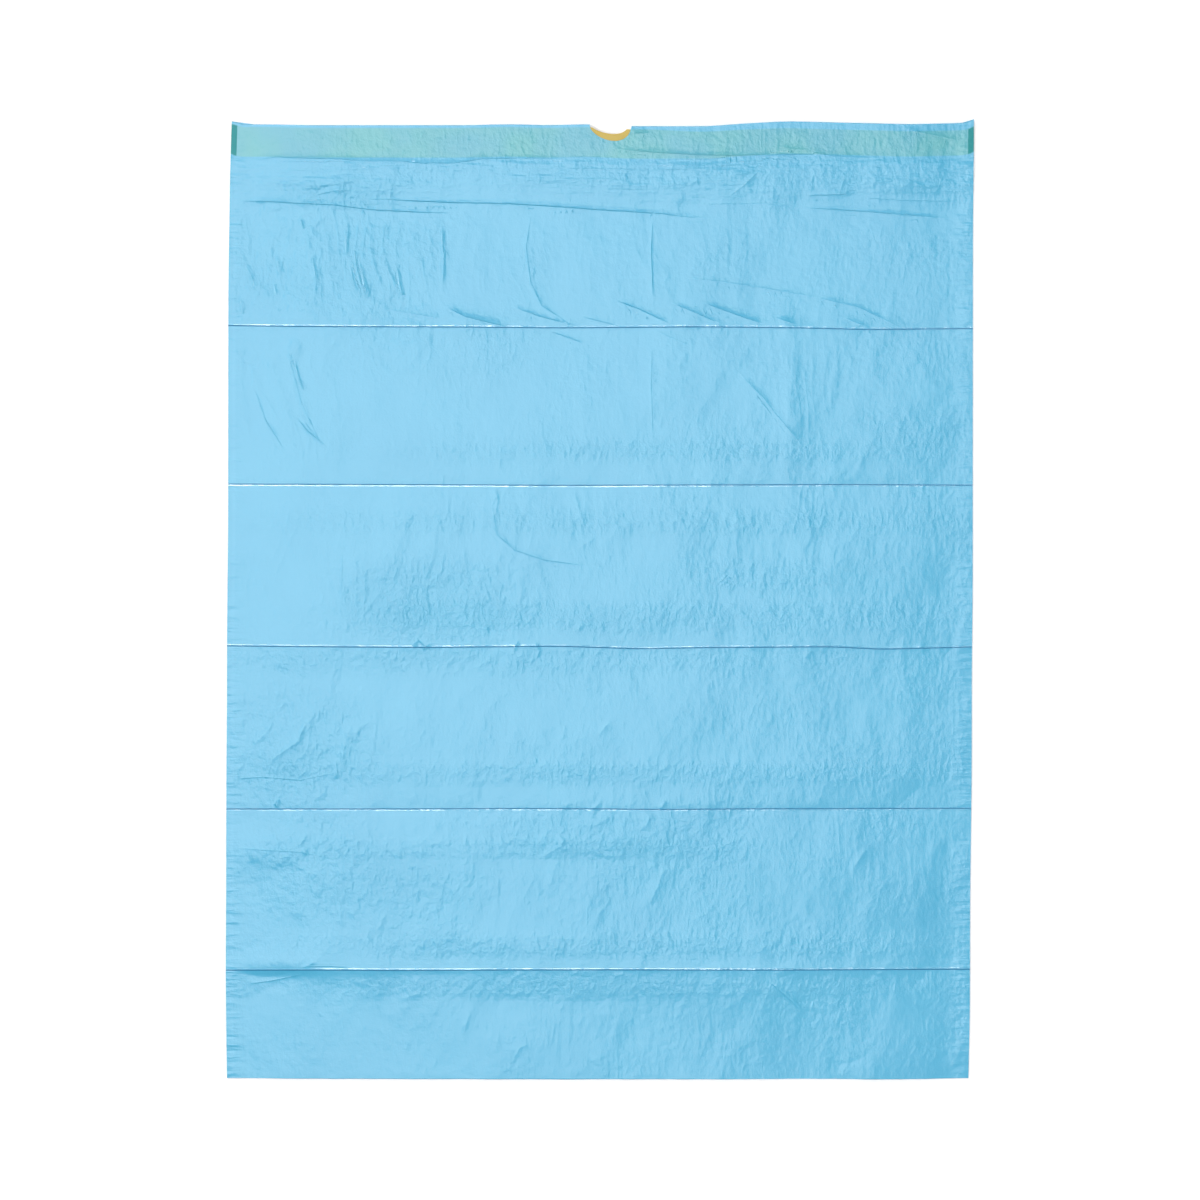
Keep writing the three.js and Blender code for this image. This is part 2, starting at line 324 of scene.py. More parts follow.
curvedWrinkles = [
    ([(531.7, 211), (526, 247), (530.5, 282), (541.6, 306), (573.5, 326)], 0.5, 1.4, 2.2, 0.14),
    ([(536, 213), (529, 255), (536, 296), (554, 319), (572, 326)], 0.35, 1.4, 2.2),
    ([(545, 213), (539, 250), (547, 285), (560, 308)], 0.2, 3, 3),
    ([(556, 222), (552, 250), (558, 276)], 0.2, 3, 3),
    ([(654, 214), (651, 250), (652, 290), (655, 306)], 0.4, 1.2, 1.6),
    ([(658, 220), (656, 260), (657, 300)], 0.25, 1.2, 1.6),
    ([(646, 256), (650, 285), (652, 304)], 0.25, 1.2, 1.6),
    ([(634, 298), (644, 280), (648, 262)], 0.2, 2, 2),
    ([(670, 270), (664, 284), (672, 302)], 0.3, 2, 2.4),
    ([(652, 345), (651, 385), (654, 410), (652, 440)], 0.3, 2, 2),
    ([(806, 216), (799, 226), (794, 238)], 0.2, 1.8, 1.8),
    ([(873, 216), (868, 226), (866, 238)], 0.25, 2.4, 2.4),
    ([(820, 236), (806, 262), (800, 290)], 0.2, 3, 3),
    ([(760, 244), (752, 262), (758, 280)], 0.2, 3, 3),
    ([(730, 222), (716, 250), (700, 268)], 0.2, 3, 3),
    ([(606, 226), (618, 250), (610, 280)], 0.2, 3, 3),
    ([(283, 208), (277.6, 247), (277.6, 267)], 0.4, 1.8, 2.4),
    ([(275, 212), (268, 230), (270, 252)], 0.3, 2, 2),
    ([(338, 206), (320, 220), (308, 234), (309.5, 250), (315.7, 280)], 0.55, 2.2, 2),
    ([(318, 207), (302, 216), (300, 222), (304, 234)], 0.55, 1.6, 1.6),
    ([(264, 203), (272, 210), (283, 206)], 0.4, 1.6, 1.6),
    ([(258, 212), (250, 226), (238, 244)], 0.4, 2.4, 2.4),
    ([(362, 212), (368, 240), (376, 276), (390, 302)], 0.3, 2.2, 2.6),
    ([(350, 214), (347, 230), (354, 250)], 0.25, 2, 2),
    ([(385, 262), (392, 278), (399, 292)], 0.4, 1.6, 1.8),
    ([(324, 262), (330, 282), (334, 298)], 0.3, 1.8, 1.8),
    ([(374, 306), (405, 312), (448, 318.7)], 0.25, 3, 1.0, 0.12),
    ([(418, 216), (412, 226), (424, 232)], 0.3, 2, 2),
    ([(442, 212), (441, 240), (443, 276), (441, 300)], 0.35, 1.4, 1.6),
    ([(480, 262), (479, 280), (481, 298)], 0.35, 1.2, 1.2),
    ([(484, 268), (484, 296)], 0.3, 1.2, 1.2),
    ([(476, 240), (474, 262)], 0.25, 2, 2),
    ([(240, 258), (256, 276), (268, 298), (280, 312)], 0.25, 2.2, 2.2),
    ([(280, 290), (290, 306), (300, 320)], 0.25, 2.2, 2.2),
    ([(245, 350), (256, 380), (264, 412), (270, 446)], 0.35, 2.6, 2.4),
    ([(268, 348), (276, 378), (288, 412), (304, 448)], 0.3, 2.4, 2.4),
    ([(236, 380), (246, 420), (262, 460)], 0.3, 2.2, 2.6),
    ([(505, 480), (492, 508), (497, 534), (515, 550), (545, 560), (590, 566), (615, 565)], 0.3, 1.2, 1.4),
    ([(493, 486), (498, 500), (494, 520)], 0.6, 1.2, 1.4),
    ([(511, 480), (500, 503)], 0.5, 1.4, 1.4),
    ([(572, 488), (577, 503), (586, 529)], 0.5, 1.8, 2.2),
    ([(582, 484), (586, 500), (582, 516)], 0.35, 1.8, 2),
    ([(596, 536), (578, 549)], 0.4, 1.8, 2),
    ([(612, 510), (616, 530), (606, 548)], 0.3, 2, 2.2),
    ([(290, 509), (286, 533), (300, 567)], 0.5, 2.6, 3),
    ([(342, 549), (343, 580), (342, 614)], 0.4, 2.2, 2.4),
    ([(389, 582), (375, 600), (358, 621)], 0.4, 2.4, 2.4),
    ([(450, 559), (438, 574), (424, 591)], 0.4, 2.4, 2.2),
    ([(470, 548), (452, 566), (440, 590), (446, 606)], 0.35, 2, 2),
    ([(370, 566), (392, 574), (404, 590), (398, 612)], 0.35, 2, 2),
    ([(398, 600), (420, 606), (436, 622)], 0.3, 2, 2),
    ([(460, 596), (480, 590), (495, 602)], 0.3, 2, 2),
    ([(795, 490), (806, 510), (812, 536), (800, 560)], 0.4, 2, 2.4),
    ([(826, 492), (820, 512), (830, 540)], 0.3, 2.2, 2.4),
    ([(730, 486), (726, 504), (738, 520), (734, 560)], 0.35, 2.2, 2.2),
    ([(422, 340), (418, 352), (410, 364), (416, 380)], 0.4, 2.2, 2.2),
    ([(434, 344), (430, 356), (420, 372)], 0.35, 2, 2),
    ([(690, 350), (678, 366), (660, 374)], 0.35, 2.4, 2.6),
    ([(700, 366), (682, 380), (664, 384)], 0.3, 2.4, 2.6),
    ([(404, 392), (430, 410), (436, 432)], 0.2, 2.6, 2.6),
    ([(760, 400), (756, 430), (764, 452)], 0.2, 2.6, 2.6),
    ([(840, 350), (834, 380), (842, 410)], 0.2, 3, 3),
    ([(900, 350), (893, 390), (899, 430)], 0.2, 3, 3),
    ([(480, 350), (486, 380), (478, 410)], 0.2, 3, 3),
    ([(560, 346), (566, 372), (558, 400)], 0.2, 3, 3),
]

# Narrow creases whose left flank mirrors the light, with the whole reach of each flank in the mesh. Their
# crests are hairlines too.
glints = [
    ([(345.1, 229), (345.8, 242), (346.4, 256)], 0.87, 1.9, 3.2),
    ([(353.7, 248), (356.4, 267), (363.8, 296)], 0.85, 1.9, 1.6),
    ([(358.4, 256), (362.6, 279.4), (368.6, 300)], 0.8, 1.8, 3.4),
    ([(349.2, 262), (353.2, 281), (359.6, 297)], 0.75, 1.8, 1.5),
    ([(442.1, 226), (442.4, 247.5), (445.3, 264)], 0.82, 1.8, 2.9),
    ([(443.3, 248), (443.4, 272), (442, 286)], 0.67, 1.8, 2.9),
    ([(396.7, 268), (399, 282), (402, 294), (407, 295)], 0.77, 1.8, 2.9),
    ([(391, 274), (398, 293)], 0.57, 1.8, 2.9),
    ([(276.4, 256), (279.5, 275)], 0.72, 1.8, 3.1),
    ([(312, 254), (315.9, 280)], 0.72, 1.9, 3.2),
    ([(247, 267), (252, 278), (256, 291)], 0.77, 2.0, 3.4),
    ([(274, 284), (276, 295)], 0.62, 1.8, 2.9),
    ([(239.6, 296), (243.4, 316)], 0.72, 1.9, 3.2),
    ([(300.5, 220), (304, 229)], 0.72, 1.9, 3.2),
    ([(346.4, 197.4), (352, 196.6), (360, 194.6)], 0.62, 1.8, 2.5),
    ([(293, 356), (298, 376), (304, 392)], 0.8, 1.6, 1.8),
    ([(289, 352), (292, 362)], 0.5, 1.6, 2.0),
    ([(296, 417), (308, 432), (326, 446)], 0.6, 1.6, 2.2),
    ([(285, 346), (293, 372), (301, 402), (314, 430), (325, 452)], 0.3, 1.6, 2),
    ([(254, 386), (266, 420), (286, 452)], -0.6, 5, 3),
    ([(411, 648), (418, 641), (426, 648)], 0.72, 1.9, 2.7),
    ([(422, 650), (432, 643)], 0.72, 1.9, 2.7),
    ([(514, 650), (518, 641)], 0.62, 1.9, 2.7),
    ([(536, 660), (540, 650), (534, 641)], 0.5, 1.6, 1.6),
    ([(862, 326), (868, 328.5), (870, 333)], 0.4, 1.8, 2.6),
    ([(280, 799), (275, 804), (278, 807.5)], 0.82, 2.0, 2.9),
    ([(627, 131), (629, 135)], 0.62, 1.8, 2.5),
]

lowerWrinkles = [
    ([(275, 719), (266, 733), (258, 740), (253, 748)], 0.8, 2.6, 3),
    ([(316, 711), (303, 729), (296, 743), (283, 751), (266, 764)], 1.0, 3, 4),
    ([(352, 719), (346, 739), (343, 756), (344, 770)], 0.8, 3, 3.5),
    ([(372, 720), (358, 727), (354, 743)], 0.5, 2.6, 3),
    ([(309, 768), (298, 778)], 0.6, 2, 2.6),
    ([(244, 780), (270, 775), (290, 782), (313, 777), (335, 772)], -0.5, 4, 3),
    ([(329, 784), (320, 796), (309, 806)], 0.5, 4, 4),
    ([(336, 769), (337, 778)], 0.6, 1.4, 1.6),
    ([(308, 831), (300, 845), (307, 857)], 0.7, 3, 3),
    ([(267, 836), (265, 850)], 0.5, 3, 3),
    ([(238, 868), (255, 858), (286, 861), (313, 873), (331, 883)], 0.6, 16, 4),
    ([(340, 850), (341, 890), (340, 932)], 0.6, 6, 5),
    ([(466, 812), (465, 850), (463, 898)], 0.5, 7, 5),
    ([(405, 852), (398, 880), (372, 930)], 0.25, 5, 5),
    ([(386, 912), (376, 934)], 0.35, 1.6, 2),
    ([(571, 832), (560, 846), (546, 854), (539, 857)], 0.5, 2.4, 2.6),
    ([(614, 815), (600, 822), (586, 829)], 0.5, 3, 3),
    ([(652, 812), (647, 824), (639, 829)], 0.7, 2.4, 3.4),
    ([(620, 830), (611, 850)], 0.5, 3, 4),
    ([(583, 850), (608, 855), (623, 856)], 0.3, 1.4, 1.6),
    ([(560, 850), (552, 880), (545, 905)], 0.4, 4, 4),
    ([(668, 862), (656, 890), (650, 905)], 0.6, 5, 3.4),
    ([(612, 895), (596, 918)], 0.3, 1.8, 2),
    ([(870, 845), (857, 862), (852, 874)], 0.5, 4, 4),
    ([(745, 836), (720, 848), (705, 852)], 0.4, 3, 3),
    ([(610, 720), (598, 736)], 0.4, 1.8, 2),
    ([(566, 724), (562, 741)], 0.35, 2.2, 2.4),
    ([(813, 650), (802, 660)], 0.4, 3, 3),
    ([(505, 797), (501, 808)], -0.5, 1.6, 1.6),
    ([(568, 802), (565, 810)], 0.4, 1.4, 1.4),
    ([(600, 802), (594, 810)], 0.4, 1.4, 1.4),
    ([(666, 800), (660, 810)], 0.6, 1.8, 1.6),
    ([(548, 832), (541, 846)], 0.4, 2, 2),
    ([(293, 966), (306, 964), (318, 966), (349, 966)], -0.55, 2.4, 2),
    ([(300, 969), (312, 963), (318, 963)], 0.9, 1.6, 1.4),
    ([(247, 988), (262, 985), (285, 980), (303, 974)], -0.5, 3, 5),
    ([(514, 977), (522, 973)], 0.5, 1.2, 1.2),
    ([(570, 975), (580, 971)], 0.4, 1.2, 1.2),
    ([(612, 977), (626, 973)], 0.5, 1.4, 1.2),
    ([(772, 975), (790, 969), (804, 974)], 0.6, 2.2, 2.2),
    ([(768, 981), (783, 992), (793, 1000), (804, 1013)], 0.6, 3, 3),
    ([(792, 1003), (806, 1001), (818, 1002)], -0.25, 1.6, 1.6),
    ([(830, 1067), (848, 1063), (866, 1057)], -0.3, 2, 2),
    ([(513, 1060), (520, 1048), (531, 1042)], 0.35, 2, 2),
    ([(469, 1012), (464, 1032)], 0.35, 2, 2.4),
    ([(398, 999), (425, 993)], 0.35, 2, 2.4),
    ([(876, 975), (884, 972)], 0.4, 1.4, 1.4),
]

# Broad swells as (place, size across and along in mm, height, turn in degrees)
swells = [
    ((460, 322), (24, 9), 0.5, -10), ((415, 352), (16, 18), 0.6, 0), ((690, 365), (40, 34), 0.9, 20),
    ((790, 405), (9, 62), 0.7, 0), ((870, 262), (70, 60), -0.9, 0), ((295, 348), (6, 7), 0.7, 0),
    ((285, 962), (46, 11), 1.3, 0), ((272, 978), (40, 8), -0.7, 8), ((265, 850), (36, 14), 0.8, 0),
    ((300, 985), (60, 10), -0.3, 0), ((925, 803), (28, 8), -0.5, 0), ((440, 806), (70, 8), -0.3, 0),
    ((620, 820), (40, 12), -0.4, 0), ((700, 836), (34, 16), -0.5, 25), ((560, 700), (60, 30), -0.4, 0),
    ((360, 560), (50, 40), 0.6, 0), ((520, 540), (34, 28), 0.5, 30), ((640, 520), (44, 24), 0.4, 0),
    ((420, 440), (60, 30), 0.5, 0), ((880, 1000), (80, 34), -0.4, 0), ((600, 245), (34, 46), 0.5, 0),
]

print("liner: wrinkles placed")

# How thick the plies lie beside the side welds: thinnest at the weld, and whole past its rise.
risen = ease((fromSide - film["weldWidth"]) / film["weldRise"])
pressed = film["weldPress"] + (1 - film["weldPress"]) * risen

# Distance from the nearest packing fold, negative on its steep side, which is the one turned away from the
# mouth, and the height of that fold's sharp line
foldGaps = np.stack([gridY - line[None, :] for line in foldY])
nearest = np.abs(foldGaps).argmin(0)
fromFold = np.clip(np.take_along_axis(foldGaps, nearest[None], 0)[0], -20, 20)
foldPinch = np.array([fold["pinch"] for fold in packingFolds])[nearest]
fromFold *= np.sign(foldPinch)

# Bands and patches of fine crinkles, pressed in while the liner was folded: middle in pixels, half its
# width and height in pixels, strength
crinkles = [
    ((640, 450), (300, 9), 0.8), ((600, 521), (400, 11), 0.7), ((670, 616), (310, 15), 1.0),
    ((660, 772), (330, 10), 1.1), ((480, 848), (250, 9), 0.8), ((600, 945), (380, 10), 1.1),
    ((575, 985), (110, 14), 0.9), ((600, 987), (380, 9), 0.7), ((600, 172), (380, 16), 0.8),
    ((330, 196), (70, 14), 1.2), ((340, 270), (110, 60), 0.9), ((420, 350), (90, 30), 0.6),
    ((425, 600), (90, 45), 1.2), ((300, 740), (70, 55), 0.9), ((310, 860), (60, 60), 0.8),
    ((620, 830), (130, 26), 0.8), ((480, 660), (330, 12), 0.8), ((760, 575), (60, 16), 0.9),
    ((420, 900), (60, 45), 0.7), ((660, 880), (90, 50), 0.5), ((800, 1000), (60, 30), 0.5),
    ((600, 142), (380, 15), 0.8)]

# Patches where the film hangs in long upright strands, in the same terms
strands = [
    ((320, 262), (95, 62), 1.9), ((440, 262), (60, 52), 0.7), ((545, 268), (40, 60), 0.7),
    ((655, 262), (24, 60), 0.9), ((285, 400), (55, 66), 1.2), ((640, 400), (30, 60), 0.6),
    ((760, 400), (60, 60), 0.5), ((300, 560), (60, 50), 0.7), ((520, 530), (110, 46), 0.8),
    ((800, 530), (60, 50), 0.8), ((430, 600), (80, 40), 0.7), ((310, 740), (70, 50), 1.2),
    ((330, 870), (60, 66), 1.0), ((470, 870), (40, 60), 0.8), ((640, 860), (60, 60), 0.8),
    ((860, 860), (50, 40), 0.5), ((640, 1010), (90, 40), 0.4)]


# Sum of patches over the grid, on top of a seeded unevenness
def patchShare(patches, level, unevenness):
    out = level + unevenness
    for place, size, strength in patches:
        x0, y0 = toMm(place)
        w, h = (v * photo["mmPerPixel"] for v in size)
        out = out + strength * np.exp(-((gridX - x0) / w) ** 4 - ((gridY - y0) / h) ** 4)
    return np.clip(out, 0.15, 2.4)


crinkled = patchShare(crinkles, 0.62, 0.28 * slack(31, 90, 60))
stranded = patchShare(strands, 0.32, 0.3 * slack(32, 80, 120))

# Share of sideways gathers: all along the side welds, and less strong under the hem
underHem = 0.7 * ease((fromMouth - 26) / 6) * ease((74 - fromMouth) / 30)
gathered = ease((19 - fromSide) / 15) * (0.75 + 0.5 * slack(33, 200, 70))
gathered += underHem * (1 + slack(34, 120, 20))

# More hairline creases as (path in pixels, height). A hairline is too sharp for the mesh.
hairlines = [
    ([(236, 157), (250, 160), (262, 160.5), (275, 157), (300, 158), (340, 159), (362, 161), (400, 161),
      (422, 163), (455, 163), (480, 159), (520, 158), (560, 158.5), (598, 158)], 0.3),
    ([(600, 147), (650, 152), (700, 155), (735, 155.5), (800, 154.5), (840, 155)], 0.3),
    ([(775, 146), (800, 150), (830, 156), (880, 158)], 0.28),
    ([(600, 169.5), (660, 170), (720, 168)], 0.16), ([(640, 164), (720, 166), (790, 162)], 0.12),
    ([(560, 168), (600, 168.5), (640, 169)], 0.16), ([(262, 171), (330, 170), (400, 169)], 0.1),
    ([(700, 204), (760, 203), (800, 207)], 0.1), ([(860, 197), (900, 200), (960, 201)], 0.14),
    ([(312, 196), (333, 191), (352, 190)], 0.14),
    ([(681, 277), (720, 281), (760, 286.8), (821, 297.8)], 0.14),
    ([(760, 286.8), (821, 297.8), (857.8, 306.4), (880, 317), (902, 328.5)], 0.2),
    ([(655, 330), (690, 346)], 0.1), ([(652, 345), (651, 385), (653, 440)], 0.1),
    ([(653, 214), (651, 250), (653, 300)], 0.14),
    ([(505, 480), (492, 508), (497, 534), (515, 550), (545, 560), (590, 566)], 0.16),
    ([(285, 346), (293, 372), (301, 402), (314, 430), (325, 452)], 0.12), ([(720, 582), (728, 574)], 0.2),
    ([(726, 588), (736, 578)], 0.16), ([(342, 549), (342, 614)], 0.1),
    ([(232, 779), (262, 777), (300, 780), (335, 773)], 0.18), ([(336, 760), (338, 780)], 0.2),
    ([(247, 984), (270, 981), (303, 974)], 0.2), ([(769, 981), (786, 996), (804, 1013)], 0.16),
    ([(306, 966), (330, 966), (349, 967)], 0.3), ([(235, 848), (262, 850), (300, 852), (330, 858)], 0.14)]

hairlineReach = 6  # mm
wrinkleGroups = hemWrinkles, longCreases, diagonals, curvedWrinkles, lowerWrinkles


# Distance from the nearest hairline, positive on its gentle side, and its height, which is 0 away from it.
# The gentle side of a crease faces the light, and the steep side of a glint does.
def hairlineValues():
    gap, height = np.full_like(gridX, hairlineReach), np.zeros_like(gridX)
    crests = [(wrinkle[0], wrinkle[4]) for group in wrinkleGroups for wrinkle in group if len(wrinkle) > 4]
    lines = [(path, 1.35 * high, 1) for path, high in hairlines + crests]
    lines += [(path, 0.42 * high, -1) for path, high, _, _ in glints]
    for path, high, towards in lines:
        box, away, ends = nearPath(path, hairlineReach, 0.25)
        nearer = np.abs(away) < np.abs(gap[box])
        gap[box] = np.where(nearer, towards * away, gap[box])
        height[box] = np.where(nearer, high * ends * ease((4 - np.abs(away)) / 2), height[box])
    return gap, height


fromHairline, hairlineHigh = hairlineValues()
gridPx = gridX / photo["mmPerPixel"] + photo["middle"][0]
tapeEdge = softRun(tape["topGap"], gridPx, 6) * photo["mmPerPixel"]


def foldRelief(y):
    relief = np.zeros_like(y)
    for fold, line in zip(packingFolds, foldY):
        d = y - line[None, :]
        height, above, below = fold["skirt"]
        relief += height * np.exp(-np.abs(d) / np.where(d > 0, above, below))
    return relief


# Slackness of the front ply as (seed, waves across and along, height, share of it everywhere, further share
# where the film is crinkled, whether it only dips along ridged lines)
slackness = [
    (11, 150, 110, 0.55, 1, 0, False), (12, 44, 70, 0.22, 1, 0, False), (15, 46, 60, 0.2, 1, 0, True),
    (13, 20, 30, 0.1, 0.24, 0.38, False), (16, 22, 30, 0.2, 0.24, 0.38, True),
    (17, 13, 17, 0.036, 0, 1, False)]


def frontHeight():
    hemShare = ease((fromMouth - film["hemDepth"]) / film["slopeLength"])
    stack = film["mouthThick"] + (film["bodyThick"] - film["mouthThick"]) * hemShare
    wrinkled = np.zeros_like(gridX)
    # The mesh holds a share of each group's height, and hairlines give the sharp part.
    for group, share in ((hemWrinkles, 0.5), (longCreases, 0.3), (diagonals, 0.25), (curvedWrinkles, 0.5),
                         (glints, 0.25), (lowerWrinkles, 0.7)):
        for path, height, lit, dark, *_ in group:
            addWrinkle(wrinkled, path, share * height, lit, dark, evenFlank=group is glints)
    for place, size, height, turn in swells:
        addSwell(wrinkled, place, size, height, turn)
    for seed, across, along, height, everywhere, whereCrinkled, dips in slackness:
        wave = slack(seed, across, along)
        wrinkled += height * (everywhere + whereCrinkled * crinkled) * (-np.abs(wave) if dips else wave)
    free = (0.2 + 0.8 * ease(fromSide / 14)) * (0.35 + 0.65 * ease((fromMouth - 4) / 40))
    folded = foldRelief(gridY) * (0.45 + 0.55 * ease(fromSide / 10))
    return (stack + folded) * pressed + wrinkled * free


# The back ply lies on the floor under the front one, so it has the same folds and creases, only lower.
def backHeight():
    lifted = 0.3 * foldRelief(gridY) + 0.3 * slack(21, 130, 100) + 0.14 * slack(22, 45, 60)
    lifted += 0.05 * slack(23, 20, 30)
    for path, height, lit, dark, *_ in longCreases + diagonals[:6] + lowerWrinkles[:10]:
        addWrinkle(lifted, path, 0.3 * height, lit, dark)
    lifted = lifted * (0.2 + 0.8 * ease(fromSide / 14)) * (0.3 + 0.7 * ease(fromMouth / 40))
    return lifted - lifted.min()


backZ = backHeight()
frontZ = np.maximum(frontHeight(), backZ + film["leastGap"])
print(f"liner: front ply {frontZ.min():.2f} to {frontZ.max():.2f} mm high, back {backZ.max():.2f} mm")


# Every level of halved right triangles over the grid: the long side's two ends, and the square corner.
def halvedTriangles():
    level = np.array([[[0, 0], [cells, cells], [cells, 0]],
                      [[cells, cells], [0, 0], [0, cells]]], np.int32)
    levels = []
    for _ in range(2 * int(math.log2(cells))):
        levels.append(level)
        a, b, c = level[:, 0], level[:, 1], level[:, 2]
        m = (a + b) // 2
        level = np.concatenate([np.stack([c, a, m], 1), np.stack([b, c, m], 1)])
    return levels


triangleLevels = halvedTriangles()


# About wanted triangles that follow a height over the grid: small where it bends, large where it doesn't,
# never coarser than that level, of the finest level where keepFine says so and near it where keepSmall does.
def leanTriangles(z, wanted, coarsest, keepFine, keepSmall):
    always = 1e3
    miss = np.zeros_like(z)
    last = len(triangleLevels) - 1
    for depth in range(last, -1, -1):
        a, b, c = (triangleLevels[depth][:, k] for k in range(3))
        m = (a + b) // 2
        own = np.abs(z[m[:, 1], m[:, 0]] - (z[a[:, 1], a[:, 0]] + z[b[:, 1], b[:, 0]]) / 2)
        if depth < last:
            for end in (a, b):
                half = (end + c) // 2
                own = np.maximum(own, miss[half[:, 1], half[:, 0]])
        if depth < coarsest:
            own[:] = always
        own = np.where(keepFine[m[:, 1], m[:, 0]], always, own)
        if depth < last - 3:
            own = np.where(keepSmall[m[:, 1], m[:, 0]], always, own)
        np.maximum.at(miss, (m[:, 1], m[:, 0]), own)

    def pick(limit):
        level, out = triangleLevels[0], []
        for _ in range(last + 1):
            a, b, c = level[:, 0], level[:, 1], level[:, 2]
            m = (a + b) // 2
            split = miss[m[:, 1], m[:, 0]] > limit
            out.append(level[~split])
            a, b, c, m = a[split], b[split], c[split], m[split]
            level = np.concatenate([np.stack([c, a, m], 1), np.stack([b, c, m], 1)])
        return np.concatenate(out + [level])

    low, high = 0.0, 1.0
    for _ in range(16):
        middle = (low + high) / 2
        low, high = (middle, high) if len(pick(middle)) > wanted else (low, middle)
    chosen = pick(high)
    print(f"liner: {len(chosen)} triangles within {high * 1000:.1f} micrometres")
    return chosen


# Depth of a punched edge below the mouth, in mm, at each x. It is 0 outside the punch.
def punchDepth(punch, x):
    middle = (punch["middle"] - photo["middle"][0]) * photo["mmPerPixel"]
    half = punch["half"] * photo["mmPerPixel"]
    deep = (punch["low"] - lipPy) * photo["mmPerPixel"]
    t = np.clip((x - middle) / half, -1, 1)
    t = t - punch["lean"] * (1 - t * t)
    return np.where(np.abs(t) < 1, deep * np.sqrt(np.clip(1 - t * t, 0, 1)), 0.0)


notchDeep = punchDepth(notch, gridX)
# Where the mesh stays fine, so that the punched edge is smooth
nearNotch = (np.abs(gridX - toMm((notch["middle"], 0))[0]) < 21) & (fromMouth < 16)


# Normals of the whole height, so that a large triangle is shaded as smoothly as a small one.
def gridNormals(z):
    du = [np.gradient(v, axis=1) for v in (gridX, gridY, z)]
    dv = [np.gradient(v, axis=0) for v in (gridX, gridY, z)]
    n = np.stack([du[1] * dv[2] - du[2] * dv[1], du[2] * dv[0] - du[0] * dv[2],
                  du[0] * dv[1] - du[1] * dv[0]], -1)
    return n / np.linalg.norm(n, axis=-1, keepdims=True)


# Values that the film's material reads, kept at each point of its mesh
values = dict(
    fromMouth=fromMouth, fromSide=fromSide, fromFold=fromFold, foldPinch=foldPinch, crinkled=crinkled,
    stranded=stranded, gathered=gathered, fromHairline=fromHairline, hairlineHigh=hairlineHigh,
    tapeEdge=tapeEdge)
plainValues = dict(
    fromMouth=0, fromSide=30, fromFold=20, foldPinch=0, crinkled=0.4, stranded=0.2, gathered=0,
    fromHairline=hairlineReach, hairlineHigh=0, tapeEdge=2)


# Values of plain points, away from folds and creases
def plain(count, **changed):
    return np.stack([np.zeros(count) + changed.get(name, plainValues[name]) for name in values], -1)


# Points, triangles and per-point values of one surface, gathered part by part
class surfaceParts:
    def __init__(self):
        self.points, self.normals, self.faces, self.values = [], [], [], []
        self.count = 0

    def add(self, points, normals, pointValues):
        start = self.count
        self.points.append(np.asarray(points, float).reshape(-1, 3))
        self.normals.append(np.asarray(normals, float).reshape(-1, 3))
        self.values.append(pointValues)
        self.count += len(self.points[-1])
        return np.arange(start, self.count)

    def join(self, faces):
        self.faces.append(np.asarray(faces, int).reshape(-1, 3))

    # Triangles between two runs of points that lie side by side, in order of place.
    def stitch(self, runA, placeA, runB, placeB, flip=False):
        i = j = 0
        out = []
        while i < len(runA) - 1 or j < len(runB) - 1:
            if j == len(runB) - 1 or (i < len(runA) - 1 and placeA[i + 1] <= placeB[j + 1]):
                out.append((runA[i], runA[i + 1], runB[j]))
                i += 1
            else:
                out.append((runA[i], runB[j + 1], runB[j]))
                j += 1
        out = np.array(out)
        self.join(out[:, ::-1] if flip else out)


# One ply's triangles on the skin. Returns its four edges as runs of point numbers, with their grid places.
def addPly(skin, z, wanted, faceUp, coarsest):
    nearLine = np.abs(fromHairline) < (3.5 if faceUp else 0)
    chosen = leanTriangles(z, wanted, coarsest, nearNotch, nearLine)
    centre = chosen.mean(1).astype(int)
    inside = fromMouth[centre[:, 1], centre[:, 0]] < notchDeep[centre[:, 1], centre[:, 0]]
    kept = chosen[~inside]
    flat = kept[..., 1].astype(int) * (cells + 1) + kept[..., 0]
    used, index = np.unique(flat, return_inverse=True)
    index = index.reshape(flat.shape)
    row, col = used // (cells + 1), used % (cells + 1)
    x, y = gridX[row, col].copy(), gridY[row, col].copy()
    cut = np.isin(used, np.unique(chosen[inside][..., 1].astype(int) * (cells + 1) + chosen[inside][..., 0]))
    lipX, mouthY = gridX[cells], gridY[cells]
    for k in np.where(cut & nearNotch[row, col])[0]:  # points on the cut move onto the notch's curve
        inNotch = (np.abs(lipX - x[k]) < 3) & (punchDepth(notch, lipX) > 0)
        if inNotch.any():
            fineX = np.linspace(lipX[inNotch].min(), lipX[inNotch].max(), 240)
            fineY = np.interp(fineX, lipX, mouthY) - punchDepth(notch, fineX)
            best = np.argmin((fineX - x[k]) ** 2 + (fineY - y[k]) ** 2)
            x[k] = fineX[best]
            y[k] = min(fineY[best], np.interp(fineX[best], lipX, mouthY))
    normals = gridNormals(z)[row, col]
    if not faceUp:
        normals = -normals
        index = index[:, ::-1]
    pointValues = np.stack([v[row, col] for v in values.values()], -1)
    ids = skin.add(np.stack([x, y, z[row, col]], -1), normals, pointValues)
    a, b, c = (np.stack([x, y], -1)[index[:, k]] for k in range(3))
    turn = (b - a)[:, 0] * (c - a)[:, 1] - (b - a)[:, 1] * (c - a)[:, 0]
    index = np.where(((turn > 0) == faceUp)[:, None], index, index[:, ::-1])
    skin.join(ids[index])
    edges = dict(mouth=(row == cells, col), bottom=(row == 0, col), left=(col == 0, row),
                 right=(col == cells, row))
    runs = {}
    for name, (on, place) in edges.items():
        at = np.where(on)[0]
        at = at[np.argsort(place[at])]
        runs[name] = (ids[at], place[at])
    return runs


